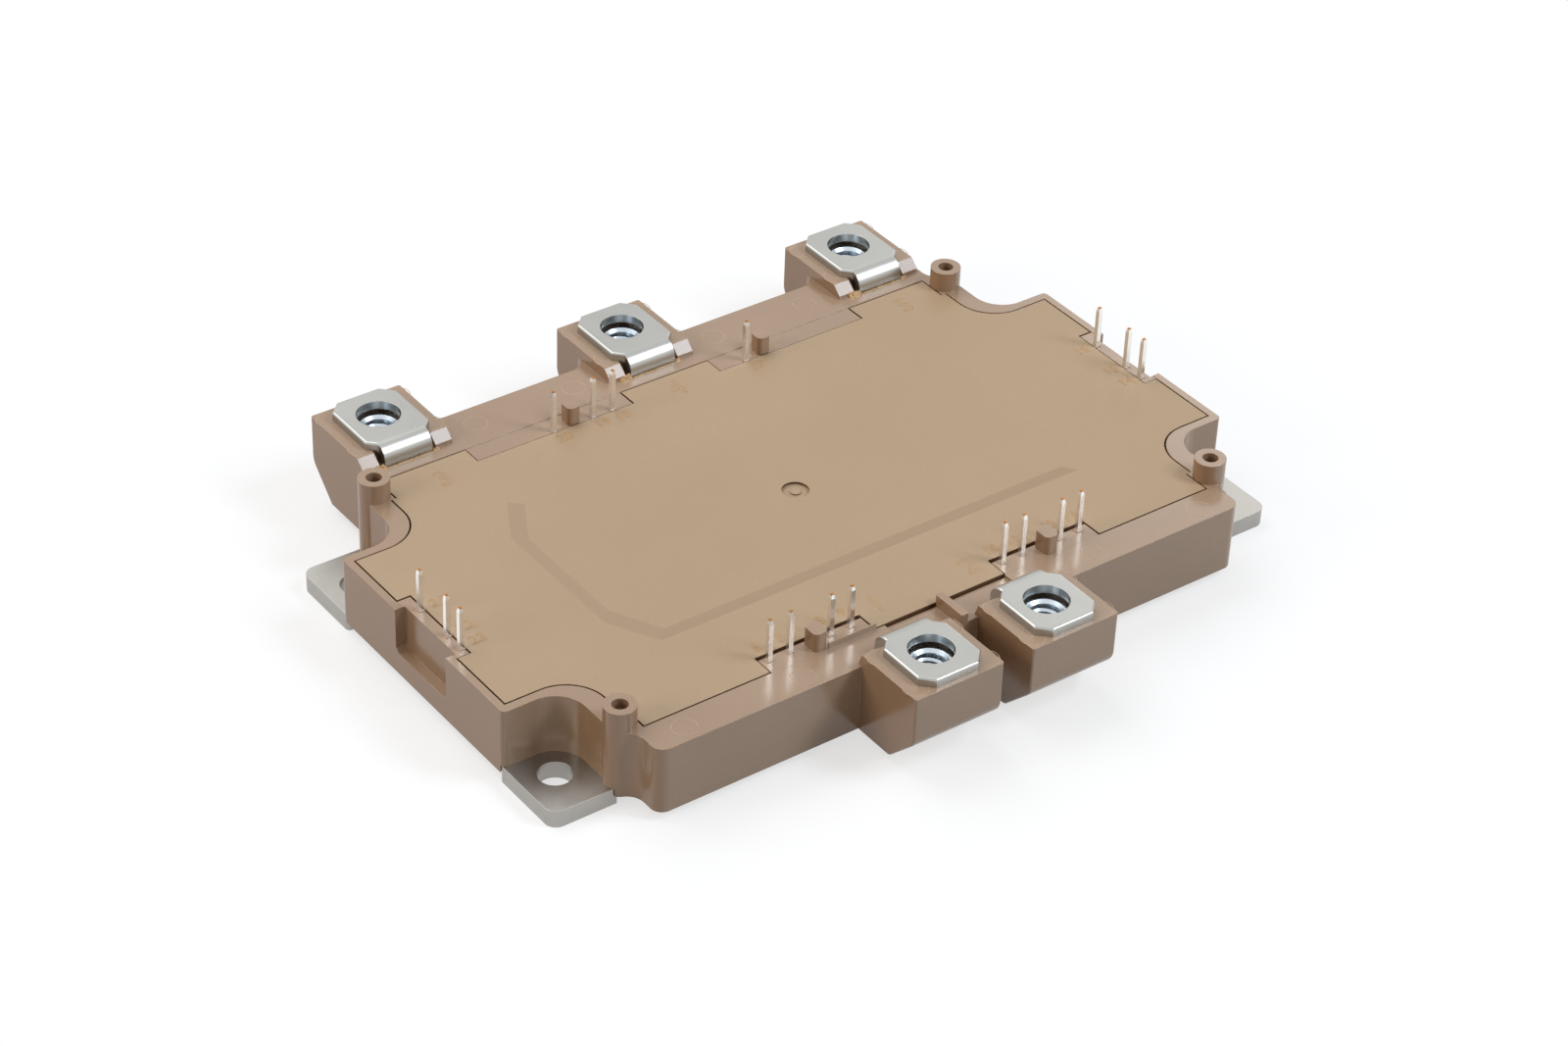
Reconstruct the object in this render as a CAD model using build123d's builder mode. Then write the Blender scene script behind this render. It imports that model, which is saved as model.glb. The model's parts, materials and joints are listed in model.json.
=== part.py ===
from build123d import *
import os

# Six-pack power transistor module, sizes in millimetres.
# The origin is the middle of the underside of the base plate, +X runs along the long side,
# +Y points to the side with three screw terminals and +Z points up.

os.makedirs("parts", exist_ok=True)

# Clearances
fit_gap = 0.15
lid_gap = 0.3
pocket_gap = 0.1
pin_notch_gap = 0.25
front_notch_gap = 0.7
same_place = 0.01

# Frame and base plate lengthwise
frame_length = 139.9
plate_step = 0.05
plate_length = frame_length - 2 * plate_step
plate_waist_depth = 1.9
plate_lug_length = 11.4
lug_end_overlap = 1.1
lug_end_radius = 0.8
plate_lug_start = plate_length / 2 - plate_lug_length
lug_hole_end_inset = 5.6
mount_spacing_x = plate_length - 2 * lug_hole_end_inset
end_block_inset = 13.75
end_block_x = frame_length / 2 - end_block_inset
boss_end_inset = 12.875
boss_spacing_x = frame_length - 2 * boss_end_inset

# Frame and base plate crosswise
plate_width = 71.8
plate_edge_depth = 2.4
lug_hole_side_inset = 7.7
mount_spacing_y = plate_width - 2 * lug_hole_side_inset
boss_side_inset = 1.525
boss_spacing_y = plate_width - 2 * boss_side_inset
front_wall_overhang = 7.35
front_wall_y = -plate_width / 2 - front_wall_overhang
rear_step_overhang = 4.9
rear_step_y = plate_width / 2 + rear_step_overhang
rear_wall_overhang = 11.18
rear_wall_y = plate_width / 2 + rear_wall_overhang
box_overhang = 20.5
box_reach = plate_width / 2 + box_overhang

# Base plate
plate_thickness = 3.0
plate_corner_radius = 2.0
mount_hole_diameter = 5.5
screw_head_relief = 5.3

# Frame outline
frame_corner_radius = 0.8
front_corner_radius = 2.0
rear_inner_radius = 2.8
skirt_bottom = 1.6
rim_top = 13.4

# Screw bosses for the circuit board
boss_diameter = 5.2
boss_top = 17.0
boss_mouth_diameter = 2.6
boss_mouth_depth = 1.8
boss_hole_diameter = 2.2
boss_hole_depth = 9.0
boss_wall_radius = 3.0

# Terminal boxes; values in a pair are for the front (-1) and the rear (1)
box_width = 16.7
box_end_inset = 0.59
rear_terminal_pitch = end_block_x - box_end_inset - box_width / 2
front_terminal_spacing = 22.2
box_top = 15.5
box_chamfer = 5.4
box_lower_round = 3.0
box_side_round = 0.4
front_neck_inset = 2.35
rear_neck_inset = 0.9
neck_face = {-1: -front_wall_y - front_neck_inset, 1: rear_step_y - rear_neck_inset}
slope_head_shift = {-1: 2.2, 1: 2.1}
box_slope_head = {side: neck_face[side] + slope_head_shift[side] for side in (-1, 1)}
slope_foot_shift = {-1: 1.5, 1: 0.4}
box_slope_foot = {side: neck_face[side] + slope_foot_shift[side] for side in (-1, 1)}
box_slope_foot_height = {-1: 13.6, 1: 14.0}
slot_width = 10.4

# Busbars
tab_thickness = 1.5
tab_width = 12.0
tab_end_inset = 0.8
tab_end = box_reach - tab_end_inset
tab_start_shift = {-1: 2.7, 1: 1.9}
tab_start = {side: neck_face[side] + tab_start_shift[side] for side in (-1, 1)}
tab_chamfer = 2.1
tab_edge_round = 0.35
tab_hole_diameter = 7.3
tab_hole_inset = 7.27
tab_hole_y = box_reach - tab_hole_inset
neck_width = 8.8
bend_radius = 2.6
foot_width = 5.6

# Nuts with a round collar on top
nut_across_flats = 10.0
nut_height = 5.0
nut_collar_diameter = 6.9
nut_collar_height = 0.6
nut_bore_diameter = 5.0
nut_bore_chamfer = 0.5
nut_drop = 0.7
screw_room_diameter = 7.0
screw_room_depth = 5.0

# Signal pins
pin_width = 0.8
pin_top = 21.0
pin_tip_width = 0.43
pin_tip_length = 0.8
pin_grid = 3.81
pin_end_inset = 3.25
pin_row_x = frame_length / 2 - pin_end_inset
pin_side_inset = 1.75
pin_row_y = plate_width / 2 - pin_side_inset
pin_collar_width = 1.2
pin_collar_height = 0.12
front_pin_steps = (0, 1, 3, 4)
rear_pin_steps = (0, 1, 3)
side_pin_steps = (0, 1, 3)
front_pin_start = 14.78
side_pin_start = -6.27
rear_pin_start = -12.07
rear_single_pin_x = 14.7

# Lid
lid_top = 13.4
lid_thickness = 1.9
rim_width = 1.55
lid_length = frame_length - 2 * rim_width
lug_rim_width = 1.8
lid_middle_x = end_block_x - lug_rim_width / 2
lid_end_x = end_block_x - lug_rim_width
lid_step_inset = 2.375
lid_middle_y = boss_spacing_y / 2 - lid_step_inset
front_rim_width = 6.55
lid_front_y = front_wall_y + front_rim_width
rear_rim_width = 3.6
lid_rear_y = rear_step_y - rear_rim_width
lid_relief_radius = screw_head_relief + lug_rim_width
front_notch_room = 1.45
front_notch_y = front_notch_room - pin_row_y
front_notch_left = (-31.7, -12.0)
front_notch_right = (13.0, 32.3)
rear_notch_room = 0.65
rear_notch_y = pin_row_y - rear_notch_room
rear_notch_left = (-38.4, -8.1)
rear_notch_right = (9.1, 38.8)
side_notch_depth = 2.4
side_notch_x = lid_length / 2 - side_notch_depth
side_notch_y = (-8.2, 9.1)
raised_end_inset = 23.1
raised_length = lid_length - 2 * raised_end_inset
raised_side_inset = 15.55
raised_width = lid_rear_y - lid_front_y - 2 * raised_side_inset
raised_height = 0.2
raised_slope = 2.0
raised_corner_x = 4.6
raised_corner_y = 8.4
gate_place = (-0.8, -1.1)
gate_diameter = 4.5
gate_depth = 0.5
gate_stub_diameter = 1.7
gate_stub_height = 0.25

# Small forms on the frame
strip_drop = 0.1
front_recess_floor = 12.8
front_recess_x = (-10.4, 13.0)
front_recess_wall = 1.75
front_recess_end = front_wall_y + front_recess_wall
wall_notch_depth = 1.8
wall_notch_y = (-7.1, 7.2)
wall_notch_floor = 5.5
wall_notch_chamfer = 0.8
peg_size = {-1: (2.5, 3.3), 1: (2.4, 2.9)}
peg_corner_radius = 0.85
peg_top = 16.65
peg_shift = 0.95
peg_x = {-1: (-22.1, 22.7), 1: (-19.6, 18.4)}
ridge_x = (-21.0, -12.0)
ridge_width = 0.35
ridge_top = 14.5
rib_x = (-0.5, 0.8)
rib_lid_gap = 0.2
rib_inner_y = lid_front_y - rib_lid_gap
rib_top = 15.0

# Hollow of the frame
side_wall_thickness = 8.45
well_side_x = frame_length / 2 - side_wall_thickness
lug_wall_thickness = 2.7
well_middle_x = end_block_x - lug_wall_thickness
well_side_step = 2.1
well_end_inset = 5.4
well_end_y = plate_width / 2 - well_end_inset
well_corner_radius = 2.0
ledge_top = 7.0
ledge_width = 3.0
foot_overhang = 0.5
glue_width = 1.8
glue_depth = 0.5
glue_inset = 1.2
gel_top = 10.2

# Half bridges
half_bridge_count = 3
substrate_clearance = 0.7
substrate_gap = 1.8
substrate_end_room = 2.5
ceramic_thickness = 0.38
copper_margin = 1.0
copper_thickness = 0.3
solder_thickness = 0.2
track_gap = 1.0
return_track_width = 4.0
igbt_size = 8.5
diode_length = 8.5
diode_width = 5.5
die_thickness = 0.2
die_pitch = 11.0
die_column_shift = 1.25
igbt_end_inset = 7.0
die_row_pitch = 10.0
ribbon_width = 1.8
ribbon_thickness = 0.3
ribbon_landing = 1.0
ribbon_rise = 1.4
diode_landing_shift = 1.3
diode_link_shift = 1.6
diode_link_side = 2.1
thermistor_size = (1.6, 3.2, 0.8)
thermistor_inset = 1.5

# Derived places
frame_side_x = frame_length / 2
frame_side_y = mount_spacing_y / 2 - screw_head_relief
frame_middle_x = mount_spacing_x / 2 - screw_head_relief
lid_side_y = frame_side_y - lug_rim_width
well_side_y = lid_side_y - well_side_step
boss_x = boss_spacing_x / 2
boss_y = boss_spacing_y / 2
lid_bottom = lid_top - lid_thickness
lid_side_x = lid_length / 2
strip_top = rim_top - strip_drop
tab_top = box_top + tab_thickness
nut_top = box_top - nut_drop
nut_bottom = nut_top - nut_height
foot_end = well_end_y - ledge_width + foot_overhang
side_foot_end = well_side_x - ledge_width + foot_overhang
copper_bottom = plate_thickness + solder_thickness
ceramic_bottom = copper_bottom + copper_thickness
track_bottom = ceramic_bottom + ceramic_thickness
track_top = track_bottom + copper_thickness
die_top = track_top + die_thickness
phase_pitch = (2 * (well_middle_x - substrate_clearance) + substrate_gap) / half_bridge_count
ceramic_width = phase_pitch - substrate_gap
ceramic_length = 2 * (well_end_y - ledge_width - substrate_end_room)
track_half_x = ceramic_width / 2 - copper_margin
track_half_y = ceramic_length / 2 - copper_margin
return_track_x = track_half_x - return_track_width / 2
main_track_end = track_half_x - return_track_width - track_gap
die_row_shift = (main_track_end - track_half_x) / 2 - die_column_shift
igbt_row_y = track_half_y - igbt_end_inset
diode_row_y = igbt_row_y - die_row_pitch

# Terminal name: (x, side), where side is +1 at the rear and -1 at the front
terminals = {
    "output_terminal_u": (-rear_terminal_pitch, 1),
    "output_terminal_v": (0, 1),
    "output_terminal_w": (rear_terminal_pitch, 1),
    "dc_terminal_positive": (-front_terminal_spacing / 2, -1),
    "dc_terminal_negative": (front_terminal_spacing / 2, -1),
}
phases = {"u": -phase_pitch, "v": 0, "w": phase_pitch}

# Pins in order, each (x, y, direction of its foot), from the front left and round the part
front_pin_x = [front_pin_start + step * pin_grid for step in front_pin_steps]
side_pin_y = [side_pin_start + step * pin_grid for step in side_pin_steps]
rear_pin_x = [rear_single_pin_x] + [rear_pin_start - step * pin_grid for step in rear_pin_steps]
pin_places = [(-x, -pin_row_y, (0, 1, 0)) for x in reversed(front_pin_x)]
pin_places += [(x, -pin_row_y, (0, 1, 0)) for x in front_pin_x]
pin_places += [(pin_row_x, y, (-1, 0, 0)) for y in side_pin_y]
pin_places += [(x, pin_row_y, (0, -1, 0)) for x in rear_pin_x]
pin_places += [(-pin_row_x, y, (1, 0, 0)) for y in reversed(side_pin_y)]
first_pin_number = 6


def corners_at(plan, x, y):
    """Return the open sketch's corners at plus or minus x and plus or minus y."""
    return plan.vertices().filter_by(
        lambda corner: abs(abs(corner.X) - x) < same_place and abs(abs(corner.Y) - y) < same_place
    )


def span(x_range, y_range, mode=Mode.ADD):
    """Draw a rectangle between two x values and two y values."""
    with Locations((sum(x_range) / 2, sum(y_range) / 2)):
        Rectangle(abs(x_range[1] - x_range[0]), abs(y_range[1] - y_range[0]), mode=mode)


def stepped_plan(plan, side, middle, end_x, end_y, relief):
    """Draw three joined rectangles and round the inner corners round the lug screws."""
    Rectangle(2 * side[0], 2 * side[1])
    Rectangle(2 * middle[0], 2 * middle[1])
    span((-end_x, end_x), end_y)
    fillet(corners_at(plan, middle[0], side[1]), relief)


def plate_plan(plan, grow=0):
    """Draw the outline of the base plate, grown on all sides."""
    length = plate_length + 2 * grow
    width = plate_width + 2 * grow
    Rectangle(length, width)
    fillet(plan.vertices(), plate_corner_radius)
    waist_y = frame_side_y - lug_end_overlap - grow
    with GridLocations(length, 1, 2, 1):
        Rectangle(2 * plate_waist_depth, 2 * waist_y, mode=Mode.SUBTRACT)
    fillet(corners_at(plan, length / 2, waist_y), lug_end_radius + grow)
    with GridLocations(1, width, 1, 2):
        Rectangle(2 * (plate_lug_start - grow), 2 * plate_edge_depth, mode=Mode.SUBTRACT)


def lid_plan(plan, grow=0, notch_grow=0, front_grow=0, notches=True):
    """Draw the outline of the lid, grown on all sides, with or without its pin notches."""
    stepped_plan(
        plan,
        (lid_side_x + grow, lid_side_y + grow),
        (lid_middle_x + grow, lid_middle_y),
        lid_end_x + grow,
        (lid_front_y - grow, lid_rear_y + grow),
        lid_relief_radius - grow,
    )
    if notches:
        for low, high in (front_notch_left, front_notch_right):
            sides = (low + notch_grow, high - notch_grow)
            span(sides, (lid_front_y - pin_width, front_notch_y - front_grow), Mode.SUBTRACT)
        for low, high in (rear_notch_left, rear_notch_right):
            sides = (low + notch_grow, high - notch_grow)
            span(sides, (rear_notch_y + notch_grow, lid_rear_y + pin_width), Mode.SUBTRACT)
        ends = (side_notch_y[0] + notch_grow, side_notch_y[1] - notch_grow)
        for side in (-1, 1):
            edge = side * (side_notch_x + notch_grow)
            span(sorted((edge, side * (lid_side_x + pin_width))), ends, Mode.SUBTRACT)


def well_plan(plan, narrow=0, grow=0):
    """Draw the outline of the frame's hollow, narrowed at the ledge or grown for the glue."""
    side_x = well_side_x - narrow + grow
    end_y = well_end_y - narrow + grow
    Rectangle(2 * side_x, 2 * (well_side_y + grow))
    Rectangle(2 * (well_middle_x + grow), 2 * end_y)
    fillet(corners_at(plan, well_middle_x + grow, well_side_y + grow), well_corner_radius)


def busbar(x, side):
    """Return a bent busbar: screw tab outside, leg down into the frame and foot on the ledge."""
    middle = tab_thickness / 2
    leg_face = neck_face[side]
    start = tab_start[side]
    neck_side_chamfer = (tab_width - neck_width) / 2
    with BuildPart() as bar:
        with BuildSketch(Plane.YZ.offset(x)):
            with BuildLine():
                FilletPolyline(
                    (side * foot_end, ledge_top + middle),
                    (side * (leg_face + middle), ledge_top + middle),
                    (side * (leg_face + middle), tab_top - middle),
                    (side * tab_end, tab_top - middle),
                    radius=bend_radius - middle,
                )
            trace(line_width=tab_thickness)
        extrude(amount=tab_width / 2, both=True)
        with BuildSketch(Plane.XY.offset(ledge_top)) as blank:
            with Locations((x, side * (start + tab_end) / 2)):
                Rectangle(tab_width, tab_end - start)
            outer_corners = blank.vertices().filter_by(lambda corner: abs(corner.Y) > tab_end - same_place)
            chamfer(outer_corners, tab_chamfer)
            inner_corners = blank.vertices().filter_by(lambda corner: abs(corner.Y) < start + same_place)
            chamfer(inner_corners, neck_side_chamfer)
            neck = (x - neck_width / 2, x + neck_width / 2)
            foot = (x - foot_width / 2, x + foot_width / 2)
            span(neck, sorted((side * leg_face, side * (start + tab_chamfer))))
            span(foot, sorted((side * foot_end, side * leg_face)))
            with Locations((x, side * tab_hole_y)):
                Circle(tab_hole_diameter / 2, mode=Mode.SUBTRACT)
        extrude(amount=tab_top - ledge_top, mode=Mode.INTERSECT)
        tab_rim = bar.faces().sort_by(Axis.Z)[-1].outer_wire().edges()
        tab_rim = tab_rim.filter_by(lambda edge: side * edge.center().Y > leg_face + bend_radius + same_place)
        fillet(tab_rim, tab_edge_round)
    return bar


def signal_pin(x, y, inward):
    """Return one square pin with a tapered tip and a foot that points inwards."""
    foot_plane = Plane(origin=(x, y, ledge_top), x_dir=inward, z_dir=(0, 0, 1))
    reach = pin_row_y - foot_end if x != pin_row_x and x != -pin_row_x else pin_row_x - side_foot_end
    shoulder = pin_top - pin_tip_length - ledge_top
    with BuildPart() as pin:
        with BuildSketch(foot_plane):
            Rectangle(pin_width, pin_width)
        extrude(amount=shoulder)
        with BuildSketch(foot_plane.offset(shoulder)):
            Rectangle(pin_width, pin_width)
        with BuildSketch(foot_plane.offset(pin_top - ledge_top)):
            Rectangle(pin_tip_width, pin_tip_width)
        loft()
        with BuildSketch(foot_plane):
            with Locations((reach / 2, 0)):
                Rectangle(reach, pin_width)
        extrude(amount=pin_width)
    return pin


def ribbon(start, end, crossing):
    """Add a flat bonded ribbon between two landings (place along the run, height) to the open part.

    crossing is the plane of the run, placed in the middle of the ribbon's width.
    """
    way = 1 if end[0] > start[0] else -1
    crown = max(start[1], end[1]) + ribbon_rise
    middle = (start[0] + end[0]) / 2
    start_back = (start[0] - way * ribbon_landing, start[1])
    end_back = (end[0] + way * ribbon_landing, end[1])
    with BuildSketch(crossing) as profile:
        with BuildLine():
            ThreePointArc(start, (middle, crown), end)
            Line(end, end_back)
            ThreePointArc(end_back, (middle, crown + ribbon_thickness), start_back)
            Line(start_back, start)
        make_face()
    extrude(profile.sketch, amount=ribbon_width / 2, both=True)


def box_at(size, place, bottom):
    """Add a block that stands with its foot at a height to the open part."""
    with BuildSketch(Plane.XY.offset(bottom)) as foot:
        with Locations(place):
            Rectangle(size[0], size[1])
    extrude(foot.sketch, amount=size[2])


# Base plate: stamped plate with four lugs
with BuildPart() as base_plate:
    with BuildSketch() as plate_outline:
        plate_plan(plate_outline)
        with GridLocations(mount_spacing_x, mount_spacing_y, 2, 2):
            Circle(mount_hole_diameter / 2, mode=Mode.SUBTRACT)
    extrude(amount=plate_thickness)

# Busbars and pins
busbars = {name: busbar(x, side) for name, (x, side) in terminals.items()}
pins = {
    f"signal_pin_{first_pin_number + index:02d}": signal_pin(*place)
    for index, place in enumerate(pin_places)
}

# Five captive nuts, one group
with BuildPart() as terminal_nuts:
    for x, side in terminals.values():
        with BuildSketch(Plane.XY.offset(nut_bottom)):
            with Locations((x, side * tab_hole_y)):
                RegularPolygon(nut_across_flats / 2, 6, major_radius=False)
        extrude(amount=nut_height - nut_collar_height)
        with BuildSketch(Plane.XY.offset(nut_bottom)):
            with Locations((x, side * tab_hole_y)):
                Circle(nut_collar_diameter / 2)
        extrude(amount=nut_height)
        with BuildSketch(Plane.XY.offset(nut_bottom)):
            with Locations((x, side * tab_hole_y)):
                Circle(nut_bore_diameter / 2)
        extrude(amount=nut_height, mode=Mode.SUBTRACT)
    bore_edges = terminal_nuts.edges().filter_by(GeomType.CIRCLE).filter_by(
        lambda edge: abs(edge.radius - nut_bore_diameter / 2) < same_place
    )
    chamfer(bore_edges, nut_bore_chamfer)

# Glue ring between frame and base plate
with BuildPart() as housing_adhesive:
    with BuildSketch(Plane.XY.offset(plate_thickness)) as glue_outside:
        well_plan(glue_outside, ledge_width, glue_inset + glue_width)
    extrude(amount=glue_depth)
    with BuildSketch(Plane.XY.offset(plate_thickness)) as glue_inside:
        well_plan(glue_inside, ledge_width, glue_inset)
    extrude(amount=glue_depth, mode=Mode.SUBTRACT)

# Housing frame
with BuildPart() as housing_frame:
    # Outline of the walls with the board bosses' columns
    with BuildSketch(Plane.XY.offset(skirt_bottom)) as outline:
        stepped_plan(
            outline,
            (frame_side_x, frame_side_y),
            (frame_middle_x, boss_y),
            end_block_x,
            (front_wall_y, rear_step_y),
            screw_head_relief,
        )
        fillet(corners_at(outline, frame_side_x, frame_side_y), frame_corner_radius)
        fillet(corners_at(outline, end_block_x, -front_wall_y), front_corner_radius)
        with GridLocations(boss_spacing_x, boss_spacing_y, 2, 2):
            Circle(boss_diameter / 2)
        boss_step = ((boss_diameter / 2) ** 2 - (boss_x - end_block_x) ** 2) ** 0.5
        fillet(corners_at(outline, end_block_x, boss_y + boss_step), boss_wall_radius)
        rear_block_x = rear_terminal_pitch + box_width / 2
        span((-rear_block_x, rear_block_x), (rear_step_y - box_width, rear_wall_y))
        for x in (-rear_terminal_pitch, 0, rear_terminal_pitch):
            box_sides = (x - box_width / 2, x + box_width / 2)
            span(box_sides, (rear_step_y, box_reach - box_chamfer))
        for x in (box_width / 2, rear_terminal_pitch - box_width / 2):
            fillet(corners_at(outline, x, rear_wall_y), rear_inner_radius)
    extrude(amount=rim_top - skirt_bottom)

    # Seat of the base plate, so that the skirt wraps its edge
    with BuildSketch() as plate_seat:
        plate_plan(plate_seat, fit_gap)
    extrude(amount=plate_thickness, mode=Mode.SUBTRACT)

    # Lower strips round the lid and the recess between the front boxes
    with BuildSketch(Plane.XY.offset(strip_top)) as strip:
        lid_plan(strip, lid_gap, notches=False)
    extrude(amount=rim_top - strip_top, mode=Mode.SUBTRACT)
    with BuildSketch(Plane.XY.offset(front_recess_floor)):
        span(front_recess_x, (front_recess_end, lid_front_y))
    extrude(amount=rim_top - front_recess_floor, mode=Mode.SUBTRACT)

    # Terminal boxes with a sloping inner edge
    for x, side in terminals.values():
        with BuildSketch(Plane.YZ.offset(x)):
            with BuildLine():
                Polyline(
                    (side * box_slope_foot[side], skirt_bottom),
                    (side * (box_reach - box_chamfer), skirt_bottom),
                    (side * box_reach, skirt_bottom + box_chamfer),
                    (side * box_reach, box_top),
                    (side * box_slope_head[side], box_top),
                    (side * box_slope_foot[side], box_slope_foot_height[side]),
                    close=True,
                )
            make_face()
        extrude(amount=box_width / 2, both=True)
    lower_edges = housing_frame.edges().filter_by(Axis.X).filter_by(
        lambda edge: abs(edge.center().Z - skirt_bottom - box_chamfer) < same_place
        and abs(abs(edge.center().Y) - box_reach) < same_place
    )
    fillet(lower_edges, box_lower_round)
    side_edges = housing_frame.edges().filter_by(Axis.Z).filter_by(
        lambda edge: abs(abs(edge.center().Y) - box_reach) < same_place
    )
    fillet(side_edges, box_side_round)

    # Board bosses, pegs, ridge, rib and pin collars
    with BuildSketch(Plane.XY.offset(rim_top)):
        with GridLocations(boss_spacing_x, boss_spacing_y, 2, 2):
            Circle(boss_diameter / 2)
    extrude(amount=boss_top - rim_top)
    with BuildSketch(Plane.XY.offset(strip_top)):
        for side in (-1, 1):
            with Locations(*[(x, side * (pin_row_y + peg_shift)) for x in peg_x[side]]):
                RectangleRounded(*peg_size[side], peg_corner_radius)
    extrude(amount=peg_top - strip_top)
    with BuildSketch(Plane.XY.offset(strip_top)):
        span(ridge_x, (lid_front_y - ridge_width, lid_front_y - fit_gap / 2))
    extrude(amount=ridge_top - strip_top)
    with BuildSketch(Plane.XY.offset(front_recess_floor)):
        span(rib_x, (front_wall_y, rib_inner_y))
    extrude(amount=rib_top - front_recess_floor)
    with BuildSketch(Plane.XY.offset(strip_top)):
        with Locations(*[(x, y) for x, y, _ in pin_places]):
            Rectangle(pin_collar_width, pin_collar_width)
    extrude(amount=pin_collar_height)

    # Lid pocket, hollow and ledge
    with BuildSketch(Plane.XY.offset(lid_bottom)) as lid_pocket:
        lid_plan(lid_pocket, lid_gap, pin_notch_gap, front_notch_gap)
    extrude(amount=rim_top - lid_bottom, mode=Mode.SUBTRACT)
    with BuildSketch(Plane.XY.offset(ledge_top)) as upper_well:
        well_plan(upper_well)
    extrude(amount=lid_bottom - ledge_top, mode=Mode.SUBTRACT)
    with BuildSketch(Plane.XY.offset(plate_thickness)) as lower_well:
        well_plan(lower_well, ledge_width)
    extrude(amount=ledge_top - plate_thickness, mode=Mode.SUBTRACT)

    # Notches in the two side walls
    for side in (-1, 1):
        with BuildSketch(Plane.YZ.offset(side * (frame_side_x - wall_notch_depth))) as wall_notch:
            span(wall_notch_y, (wall_notch_floor, rim_top))
            lower_corners = wall_notch.vertices().group_by(Axis.Y)[0]
            chamfer(lower_corners, wall_notch_chamfer)
        extrude(amount=side * wall_notch_depth, mode=Mode.SUBTRACT)

    # Nut pockets and screw end rooms in the boxes
    for x, side in terminals.values():
        with BuildSketch(Plane.XY.offset(nut_bottom)):
            with Locations((x, side * tab_hole_y)):
                RegularPolygon(nut_across_flats / 2 + pocket_gap, 6, major_radius=False)
        extrude(amount=box_top - nut_bottom, mode=Mode.SUBTRACT)
        with BuildSketch(Plane.XY.offset(nut_bottom - screw_room_depth)):
            with Locations((x, side * tab_hole_y)):
                Circle(screw_room_diameter / 2)
        extrude(amount=screw_room_depth, mode=Mode.SUBTRACT)

    # Slots round the necks in the rear boxes
    for x in (-rear_terminal_pitch, 0, rear_terminal_pitch):
        with BuildSketch(Plane.XY.offset(rim_top)):
            slot_sides = (x - slot_width / 2, x + slot_width / 2)
            span(slot_sides, (box_slope_foot[1], neck_face[1] + bend_radius))
        extrude(amount=box_top - rim_top, mode=Mode.SUBTRACT)

    # Holes of the board bosses
    with BuildSketch(Plane.XY.offset(boss_top - boss_mouth_depth)):
        with GridLocations(boss_spacing_x, boss_spacing_y, 2, 2):
            Circle(boss_mouth_diameter / 2)
    extrude(amount=boss_mouth_depth, mode=Mode.SUBTRACT)
    with BuildSketch(Plane.XY.offset(boss_top - boss_hole_depth)):
        with GridLocations(boss_spacing_x, boss_spacing_y, 2, 2):
            Circle(boss_hole_diameter / 2)
    extrude(amount=boss_hole_depth, mode=Mode.SUBTRACT)

    # The busbars, pins and glue are moulded in or sit in the frame
    add(housing_adhesive.part, mode=Mode.SUBTRACT)
    add([bar.part for bar in busbars.values()], mode=Mode.SUBTRACT)
    add([pin.part for pin in pins.values()], mode=Mode.SUBTRACT)

# Lid with a raised middle and a gate dimple
with BuildPart() as lid:
    with BuildSketch(Plane.XY.offset(lid_bottom)) as lid_outline:
        lid_plan(lid_outline)
    extrude(amount=lid_thickness)
    for height, inset in ((0, 0), (raised_height, raised_slope)):
        with BuildSketch(Plane.XY.offset(lid_top + height)):
            half_x = raised_length / 2 - inset
            half_y = raised_width / 2 - inset
            with BuildLine():
                Polyline(
                    (half_x, half_y - raised_corner_y),
                    (half_x - raised_corner_x, half_y),
                    (raised_corner_x - half_x, half_y),
                    (-half_x, half_y - raised_corner_y),
                    (-half_x, raised_corner_y - half_y),
                    (raised_corner_x - half_x, -half_y),
                    (half_x - raised_corner_x, -half_y),
                    (half_x, raised_corner_y - half_y),
                    close=True,
                )
            make_face()
    loft(ruled=True)
    with BuildSketch(Plane.XY.offset(lid_top + raised_height - gate_depth)):
        with Locations(gate_place):
            Circle(gate_diameter / 2)
    extrude(amount=gate_depth, mode=Mode.SUBTRACT)
    with BuildSketch(Plane.XY.offset(lid_top + raised_height - gate_depth)):
        with Locations(gate_place):
            Circle(gate_stub_diameter / 2)
    extrude(amount=gate_stub_height)

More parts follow.
